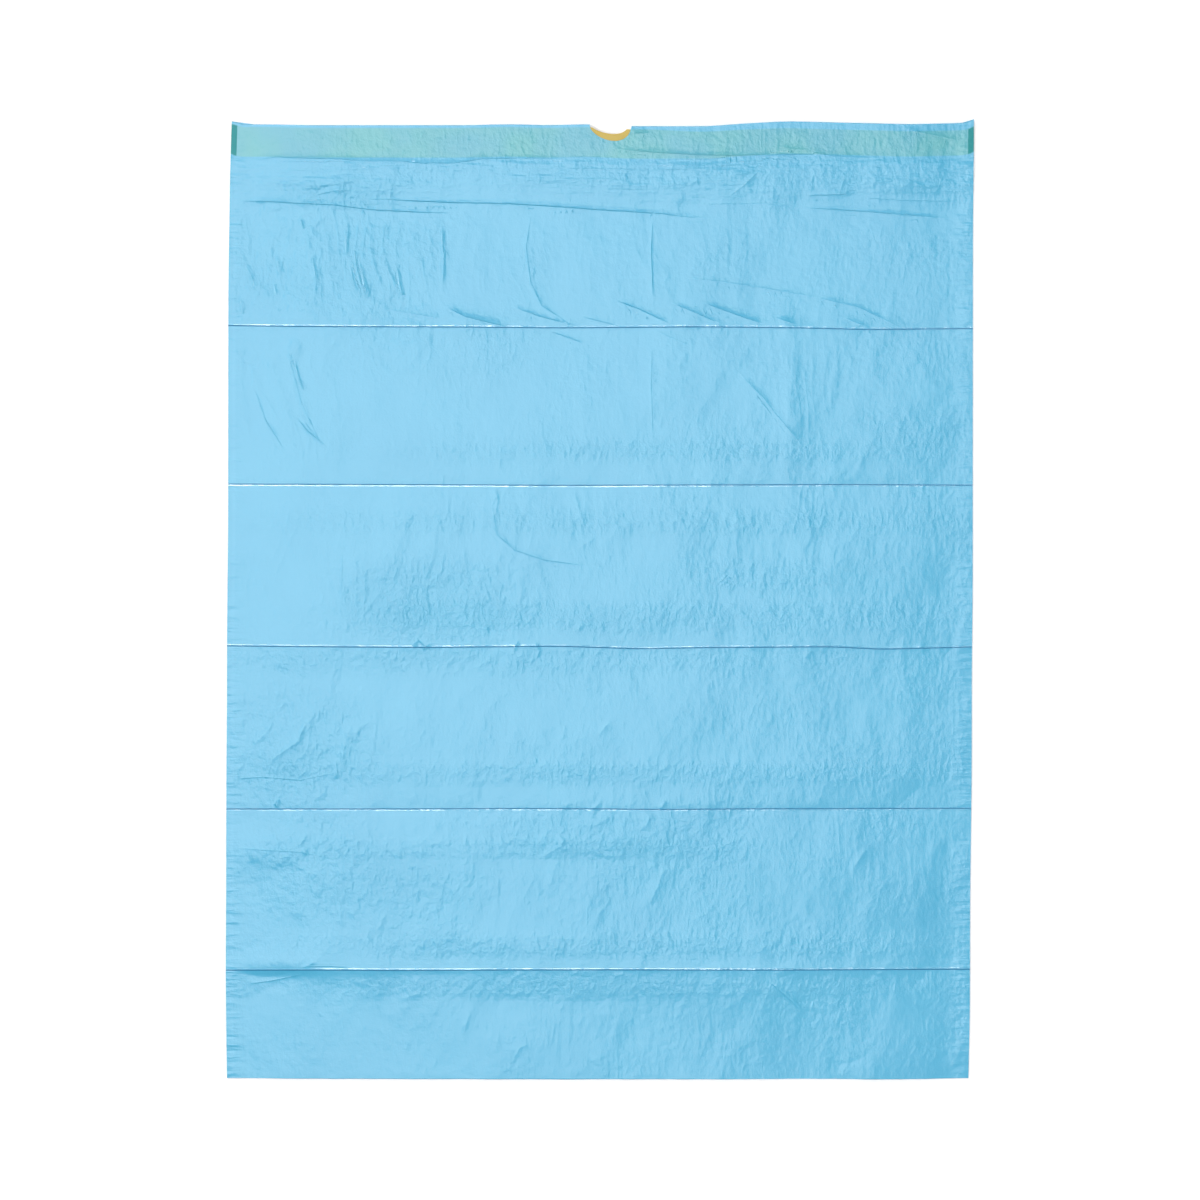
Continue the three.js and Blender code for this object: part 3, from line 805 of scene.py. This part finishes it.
def buildFilm():
    skin = surfaceParts()
    front = addPly(skin, frontZ, film["frontTriangles"], True, 10)
    back = addPly(skin, backZ, film["backTriangles"], False, 10)
    points = np.concatenate(skin.points)

    # Side welds: the plies' edges are one melted edge.
    for name, flip in (("left", True), ("right", False)):
        skin.stitch(*front[name], *back[name], flip=flip)

    # Bottom: the film turns round in a half circle from the front ply to the back ply.
    run, place = front["bottom"]
    steps = 7
    last = run
    backAt = np.interp(place, back["bottom"][1], points[back["bottom"][0], 2])
    for k in range(1, steps):
        angle = math.pi * k / steps
        middle = (points[run, 2] + backAt) / 2
        radius = (points[run, 2] - backAt) / 2
        ring = np.stack([points[run, 0], points[run, 1] - radius * math.sin(angle),
                         middle + radius * math.cos(angle)], -1)
        out = np.stack([np.zeros(len(run)), -np.full(len(run), math.sin(angle)),
                        np.full(len(run), math.cos(angle))], -1)
        now = skin.add(ring, out, plain(len(run), fromMouth=784))
        skin.stitch(last, place, now, place, flip=True)
        last = now
    skin.stitch(last, place, *back["bottom"], flip=True)

    # Mouth: each ply turns in over its tape and runs down inside it as the hem's inner layer.
    for runs, z, up in ((front, frontZ, 1), (back, backZ, -1)):
        run, place = runs["mouth"]
        x = points[run, 0]
        deep = punchDepth(notch, x)
        middleX = toMm((notch["middle"], 0))[0]
        for part in (x < middleX, x >= middleX):
            keep = np.where(part)[0]
            ids, at = run[keep], place[keep]
            ends = points[ids]
            thick = film["hemThick"] * pressed[cells, at]
            last = ids
            for k in range(1, 6):
                angle = math.pi * k / 6
                ring = np.stack([ends[:, 0], ends[:, 1] + film["hemRadius"] * math.sin(angle),
                                 ends[:, 2] - up * thick / 2 * (1 - math.cos(angle))], -1)
                out = np.tile([[0, math.sin(angle), up * math.cos(angle)]], (len(ids), 1))
                now = skin.add(ring, out, plain(len(ids), fromSide=fromSide[cells, at]))
                skin.stitch(last, at, now, at, flip=up < 0)
                last = now
            for t in (0.0, 0.12, 0.4, 1.0):  # rows of the inner layer, as shares of the hem
                start = punchDepth(notch, ends[:, 0])
                down = start + (film["hemDepth"] - start) * t
                layer = ends.copy()
                level = rowAt(down).astype(int)
                layer[:, 1] = ends[:, 1] - down
                layer[:, 2] = z[level, at] - up * film["hemThick"] * pressed[level, at]
                out = np.tile([[0, 0, -up]], (len(ids), 1))
                now = skin.add(layer, out, plain(len(ids), fromMouth=down, fromSide=fromSide[cells, at]))
                skin.stitch(last, at, now, at, flip=up < 0)
                last = now
    return skin


# A smooth mesh object, from points in mm
def addMesh(name, points, faces, material):
    mesh = bpy.data.meshes.new(name)
    mesh.from_pydata((points * metre).tolist(), [], faces.tolist())
    mesh.update()
    mesh.polygons.foreach_set("use_smooth", np.ones(len(mesh.polygons), bool))
    mesh.materials.append(material)
    piece = bpy.data.objects.new(name, mesh)
    bpy.context.scene.collection.objects.link(piece)
    return piece


# The film as an object that keeps the values and the normals of its points, without slivers and loose points
def addFilm(name, skin, material):
    points, faces = np.concatenate(skin.points), np.concatenate(skin.faces)
    a, b, c = (points[faces[:, k]] for k in range(3))
    faces = faces[np.linalg.norm(np.cross(b - a, c - a), axis=1) > 1e-6]
    print(f"liner: {name} has {len(faces)} triangles")
    used, index = np.unique(faces, return_inverse=True)
    piece = addMesh(name, points[used], index.reshape(faces.shape), material)
    pointValues = np.concatenate(skin.values)[used]
    for k, valueName in enumerate(values):
        attribute = piece.data.attributes.new(valueName, "FLOAT", "POINT")
        attribute.data.foreach_set("value", pointValues[:, k].astype(np.float32))
    piece.data.normals_split_custom_set_from_vertices(np.concatenate(skin.normals)[used].tolist())
    return piece


# Adds one node, sets its inputs and properties, and feeds its inputs from other nodes' outputs.
def addNode(tree, kind, feeds=None, **settings):
    node = tree.nodes.new(kind)
    inputs = settings.pop("inputs", {})
    for key, value in settings.items():
        setattr(node, key, value)
    for key, value in inputs.items():
        node.inputs[key].default_value = value
    for key, source in (feeds or {}).items():
        tree.links.new(source, node.inputs[key])
    return node


def newMaterial(name):
    material = bpy.data.materials.new(name)
    material.use_nodes = True
    tree = material.node_tree
    tree.nodes.clear()
    shader = addNode(tree, "ShaderNodeBsdfPrincipled")
    addNode(tree, "ShaderNodeOutputMaterial", {"Surface": shader.outputs["BSDF"]})
    return material, tree, shader


# Blown LDPE film, tinted in the melt. Blowing leaves it satin: a broad haze with few sharp lights, a
# little cloudiness where the gauge varies, and fine crinkles where it was pressed in the fold.
# Lengths of a pattern are across, along and through the film. Real ticks and gathers are down to about
# 1 mm long, and are drawn coarser to show.
filmFinish = dict(
    blue="#44aace", thick="#3aa2c8", cloudMm=70,
    overTape="#40a0b6", greener="#46a5af", hemPatchMm=45.45,
    hemWeld="#13868a", weldGloss=0.1, weldSpecular=0.4,
    # the second colour on the next line is painted shade for the unlit side of the packing folds
    weld="#7cc6e6", paintedFoldShade="#1a7fb4",
    ior=1.51, roughness=0.42, specular=1.0, gloss=0.8, glossRoughness=0.17,
    crinkleMm=6, grainHigh=0.5,
    strandMm=(11, 70, 70), strandHigh=0.125, strandDriftMm=111.1,
    tickMm=(5, 15, 15), tickHigh=0.08,
    gatherMm=(26, 4.6, 26), gatherHigh=0.9,
    pinchSteepMm=0.75, pinchGentleMm=1.15, hairlineSteepMm=0.42, hairlineGentleMm=2.2)


def filmMaterial():
    look = filmFinish
    material, tree, shader = newMaterial("blownPolyethyleneFilm")
    place = addNode(tree, "ShaderNodeTexCoord").outputs["Object"]
    at = {name: addNode(tree, "ShaderNodeAttribute", attribute_name=name).outputs["Fac"] for name in values}

    cloud = addNode(tree, "ShaderNodeTexNoise", {"Vector": place},
                    inputs={"Scale": 1000 / look["cloudMm"], "Detail": 3, "Roughness": 0.5})
    patches = addNode(tree, "ShaderNodeTexNoise", {"Vector": place},
                      inputs={"Scale": 1000 / look["hemPatchMm"], "Detail": 2})
    pastEdge = addNode(tree, "ShaderNodeMath", {0: at["fromMouth"], 1: at["tapeEdge"]}, operation="SUBTRACT")

    # Shares that rise or fall along a value, from a start to an end, in mm but for the patches
    share = {}
    for name, value, start, end, atStart, atEnd, kind in (
            ("tapeTop", pastEdge.outputs[0], -0.4, 0.6, 0, 1, "LINEAR"),
            ("tapeLow", at["fromMouth"], 25.6, 26.6, 1, 0, "LINEAR"),
            ("patched", patches.outputs["Fac"], 0.36, 0.64, 0, 1, "LINEAR"),
            ("seamInner", at["fromSide"], 5.2, 7.0, 1, 0, "SMOOTHSTEP"),
            ("seamOuter", at["fromSide"], 2.0, 4.2, 0, 0.05, "SMOOTHSTEP"),
            ("sideWeld", at["fromSide"], 4.4, 5.0, 1, 0, "SMOOTHSTEP"),
            # painted shade: the steep, unlit side of each packing fold, darkened as its contact shadow
            ("foldShadeStart", at["fromFold"], -1.5, -0.3, 0, 0.8, "SMOOTHSTEP"),
            ("foldShadeEnd", at["fromFold"], -0.2, 0.5, 1, 0, "SMOOTHSTEP")):
        ramp = addNode(tree, "ShaderNodeMapRange", {"Value": value}, interpolation_type=kind,
                       inputs={"From Min": start, "From Max": end, "To Min": atStart, "To Max": atEnd})
        share[name] = ramp.outputs[0]
    for name, one, other in (("overTape", "tapeTop", "tapeLow"), ("seam", "seamInner", "seamOuter"),
                             ("hemWeld", "sideWeld", "overTape"), ("foldShade", "foldShadeStart", "foldShadeEnd")):
        both = addNode(tree, "ShaderNodeMath", {0: share[one], 1: share[other]}, operation="MULTIPLY")
        share[name] = both.outputs[0]

    # Colours, each laid over the last one: clouded film, the mottled teal that the tape gives the hem, the
    # side seams, the melted weld across the hem, and painted shade: a dark line on the steep, unlit side of
    # each packing fold, standing in for its contact shadow
    colour, teal = (addNode(tree, "ShaderNodeMix", {"Factor": factor}, data_type="RGBA",
                            inputs={"A": linear(look[one]), "B": linear(look[other])}).outputs["Result"]
                    for factor, one, other in ((cloud.outputs["Fac"], "blue", "thick"),
                                               (share["patched"], "overTape", "greener")))
    colour = addNode(tree, "ShaderNodeMix", {"Factor": share["overTape"], "A": colour, "B": teal},
                     data_type="RGBA").outputs["Result"]
    for name, over in (("seam", "weld"), ("hemWeld", "hemWeld"), ("foldShade", "paintedFoldShade")):
        colour = addNode(tree, "ShaderNodeMix", {"Factor": share[name], "A": colour}, data_type="RGBA",
                         inputs={"B": linear(look[over])}).outputs["Result"]
    tree.links.new(colour, shader.inputs["Base Color"])

    # The weld across the hem is melted through, which leaves it nearly matt.
    for socket, melted, plainFilm in (("Coat Weight", look["weldGloss"], look["gloss"]),
                                      ("Specular IOR Level", look["weldSpecular"], look["specular"])):
        shine = addNode(tree, "ShaderNodeMapRange", {"Value": share["hemWeld"]},
                        inputs={"From Min": 0, "From Max": 1, "To Min": plainFilm, "To Max": melted})
        tree.links.new(shine.outputs[0], shader.inputs[socket])
    for socket, name in (("IOR", "ior"), ("Roughness", "roughness"), ("Coat Roughness", "glossRoughness")):
        shader.inputs[socket].default_value = look[name]

    # Patterns of the relief. The strands wander a little sideways, so that none is ruled.
    drift = addNode(tree, "ShaderNodeTexNoise", {"Vector": place},
                    inputs={"Scale": 1000 / look["strandDriftMm"], "Detail": 1})
    drifted = addNode(tree, "ShaderNodeVectorMath", {0: drift.outputs["Color"], 2: place},
                      operation="MULTIPLY_ADD", inputs={1: (0.06, 0, 0)})
    grain = addNode(tree, "ShaderNodeTexNoise", {"Vector": place},
                    inputs={"Scale": 1000 / look["crinkleMm"], "Detail": 4, "Roughness": 0.62})
    pattern = dict(grain=grain.outputs["Fac"])
    ridged = dict(noise_type="RIDGED_MULTIFRACTAL", normalize=False)
    ridges = {"Offset": 0.9, "Gain": 1.0}
    for name, source, lengths, kind, own in (
            ("ticks", place, "tickMm", ridged, {"Lacunarity": 2.2, **ridges}),
            ("strands", drifted.outputs[0], "strandMm", ridged, {"Lacunarity": 2.1, **ridges}),
            ("gathers", place, "gatherMm", {}, {})):
        stretched = addNode(tree, "ShaderNodeMapping", {"Vector": source},
                            inputs={"Scale": [1000 / length for length in look[lengths]]})
        noise = addNode(tree, "ShaderNodeTexNoise", {"Vector": stretched.outputs[0]}, **kind,
                        inputs={"Scale": 1, "Detail": 2, "Roughness": 0.5, **own})
        pattern[name] = noise.outputs["Fac"]

    # Sharp lines: a fold's runs straight down on both sides, and a hairline's curves out.
    for name, away, steep, gentle, kind in (("fold", "fromFold", "pinchSteepMm", "pinchGentleMm", "ADD"),
                                            ("hairline", "fromHairline", "hairlineSteepMm",
                                             "hairlineGentleMm", "EXPONENT")):
        sides = [addNode(tree, "ShaderNodeMath", {0: at[away]}, operation="MULTIPLY",
                         inputs={1: 1 / mm}).outputs[0] for mm in (look[steep], -look[gentle])]
        fall = addNode(tree, "ShaderNodeMath", dict(enumerate(sides)), operation="MINIMUM")
        line = addNode(tree, "ShaderNodeMath", {0: fall.outputs[0]}, operation=kind,
                       use_clamp=kind == "ADD", inputs={1: 1})
        pattern[name] = line.outputs[0]

    # The relief adds up each pattern times its share of the film times its height in mm.
    height = None
    for name, where, high in (
            ("grain", "crinkled", look["grainHigh"]), ("ticks", "crinkled", look["tickHigh"]),
            ("strands", "stranded", look["strandHigh"]), ("gathers", "gathered", look["gatherHigh"]),
            ("fold", "foldPinch", 1), ("hairline", "hairlineHigh", 1)):
        part = addNode(tree, "ShaderNodeMath", {0: pattern[name], 1: at[where]}, operation="MULTIPLY")
        below = {} if height is None else {2: height}
        height = addNode(tree, "ShaderNodeMath", {0: part.outputs[0], **below}, operation="MULTIPLY_ADD",
                         inputs={1: high, 2: 0}).outputs[0]
    bump = addNode(tree, "ShaderNodeBump", {"Height": height}, inputs={"Strength": 1.0, "Distance": metre})
    for socket in ("Normal", "Coat Normal"):
        tree.links.new(bump.outputs["Normal"], shader.inputs[socket])
    return material


# LDPE drawtape, slit from yellow cast film: satin, close to opaque, faintly streaked along its length.
tapeFinish = dict(yellow="#c2a950", streak="#b59d48", streakMm=4.545, ior=1.51, roughness=0.4)


def tapeMaterial():
    material, tree, shader = newMaterial("yellowDrawtapeFilm")
    place = addNode(tree, "ShaderNodeTexCoord").outputs["Object"]
    streaks = addNode(tree, "ShaderNodeTexNoise", {"Vector": place},
                      inputs={"Scale": 1000 / tapeFinish["streakMm"], "Detail": 2})
    colour = addNode(tree, "ShaderNodeMix", {"Factor": streaks.outputs["Fac"]}, data_type="RGBA")
    colour.inputs["A"].default_value = linear(tapeFinish["yellow"])
    colour.inputs["B"].default_value = linear(tapeFinish["streak"])
    tree.links.new(colour.outputs["Result"], shader.inputs["Base Color"])
    shader.inputs["IOR"].default_value = tapeFinish["ior"]
    shader.inputs["Roughness"].default_value = tapeFinish["roughness"]
    return material


linerFilm = addFilm("liner_film_skin", buildFilm(), filmMaterial())
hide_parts("liner_film")
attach(linerFilm, "root")
print("liner: film made")


# Height of a ply at places near the mouth, by their x and their distance below the mouth.
def plyAt(z, x, down):
    col = np.clip(np.interp(x, gridX[cells], np.arange(cells + 1)), 0, cells)
    row = rowAt(down)
    c0, r0 = np.minimum(col.astype(int), cells - 1), np.minimum(row.astype(int), cells - 1)
    fc, fr = col - c0, row - r0
    low = z[r0, c0] * (1 - fc) + z[r0, c0 + 1] * fc
    high = z[r0 + 1, c0] * (1 - fc) + z[r0 + 1, c0 + 1] * fc
    return low * (1 - fr) + high * fr


# A tape is one closed strip, between its hem's two layers of film.
def buildTape(z, up):
    middle = toMm((bite["middle"], 0))[0]
    ends = gridX[cells - 40, 0] + tape["endGap"], gridX[cells - 40, cells] - tape["endGap"]
    x = np.unique(np.concatenate([np.linspace(*ends, 123), middle + np.linspace(-18, 18, 73)]))
    lipY = np.interp(x, gridX[cells], gridY[cells])
    gap = softRun([(toMm((px, 0))[0], high * photo["mmPerPixel"]) for px, high in tape["topGap"]], x, 4)
    top = np.maximum(gap, punchDepth(bite, x))
    bottom = gap + tape["width"]
    skin = surfaceParts()
    rows = np.array([0, 0.006, 0.03, 0.15, 0.3, 0.5, 0.7, 0.85, 0.97, 0.994, 1])
    press = np.interp(x, gridX[cells], pressed[cells])
    halves = tape["thick"] / 2 * press
    rings = []
    for side in (1, -1):
        for t in (rows if side > 0 else rows[::-1]):
            down = top + (bottom - top) * t
            rim = math.sqrt(max(0.0, 1 - abs(2 * t - 1) ** 60))
            level = plyAt(z, x, down) - up * tape["depth"] * press + side * up * halves * rim
            if 0 < t < 1 or side > 0:
                rings.append(np.stack([x, lipY - down, level], -1))
    ids = [skin.add(r, np.tile([[0, 0, 1.0]], (len(x), 1)), plain(len(x))) for r in rings]
    for k in range(len(ids)):
        a, b = ids[k], ids[(k + 1) % len(ids)]
        quads = np.stack([a[:-1], a[1:], b[1:], b[:-1]], -1)
        tris = np.concatenate([quads[:, [0, 1, 2]], quads[:, [0, 2, 3]]])
        skin.join(tris if up < 0 else tris[:, ::-1])
    for end, flip in ((0, False), (-1, True)):
        loop = [i[end] for i in ids]
        fan = np.array([(loop[0], loop[k], loop[k + 1]) for k in range(1, len(loop) - 1)])
        skin.join(fan[:, ::-1] if flip ^ (up < 0) else fan)
    return skin


def tapeObject(name, z, up, node, material):
    skin = buildTape(z, up)
    piece = addMesh(name, np.concatenate(skin.points), np.concatenate(skin.faces), material)
    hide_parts(node)
    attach(piece, "root")
    return piece


tapeLook = tapeMaterial()
tapeObject("front_drawtape_strip", frontZ, 1, "front_drawtape", tapeLook)
tapeObject("back_drawtape_strip", backZ, -1, "back_drawtape", tapeLook)
print("liner: tapes made")

# Studio: white floor, a key light past the mouth, one at the left, a softbox overhead and a fill past the
# bottom. The film mirrors the softbox as an even haze, which its slopes lose. Lights are given as name, place
# in metres, width and height, watts.
studio = dict(
    floorMm=9000, floorColour="#ffffff", floorDropMm=0.3,
    lights=[("key", (-1.4, 7.6, 4.8), (3.4, 1.2), 430), ("left", (-6.7, 0.4, 4.4), (3.8, 2.2), 300),
            ("over", (-0.72, 0.32, 4.4), (3.0, 3.0), 86), ("fill", (3.2, -3.8, 3.4), (2.5, 2.5), 175)],
    sky="#ffffff", skyStrength=0.08,
    cameraHeight=3.2)


def buildStudio():
    s = studio
    half = s["floorMm"] / 2
    corners = np.array([(-half, -half, 0), (half, -half, 0), (half, half, 0), (-half, half, 0)])
    material, tree, shader = newMaterial("whiteStudioPaper")
    shader.inputs["Base Color"].default_value = linear(s["floorColour"])
    shader.inputs["Roughness"].default_value = 0.9
    shader.inputs["Specular IOR Level"].default_value = 0.1
    floor = addMesh("floor", corners - (0, 0, s["floorDropMm"]), np.array([(0, 1, 2, 3)]), material)

    for name, place, size, watts in s["lights"]:
        light = bpy.data.lights.new(name, "AREA")
        light.shape, light.size, light.size_y, light.energy = "RECTANGLE", *size, watts
        lamp = bpy.data.objects.new(name, light)
        bpy.context.scene.collection.objects.link(lamp)
        lamp.location = place
        x, y, z = place
        lamp.rotation_euler = (math.atan2(math.hypot(x, y), z), 0, math.atan2(y, x) + math.pi / 2)

    world = bpy.data.worlds.new("studio")
    world.use_nodes = True
    background = world.node_tree.nodes["Background"]
    background.inputs["Color"].default_value = linear(s["sky"])
    background.inputs["Strength"].default_value = s["skyStrength"]
    bpy.context.scene.world = world

    camera = bpy.data.cameras.new("camera")
    frameMm = photo["size"] * photo["mmPerPixel"]
    camera.sensor_width = 36
    camera.lens = 36 * s["cameraHeight"] / (frameMm * metre)
    eye = bpy.data.objects.new("camera", camera)
    eye.location = (0, (photo["middle"][1] - 600) * photo["mmPerPixel"] * metre, s["cameraHeight"] + 0.002)
    bpy.context.scene.collection.objects.link(eye)
    bpy.context.scene.camera = eye
    bpy.context.scene.view_settings.view_transform = "Standard"


buildStudio()
print("liner: studio set")
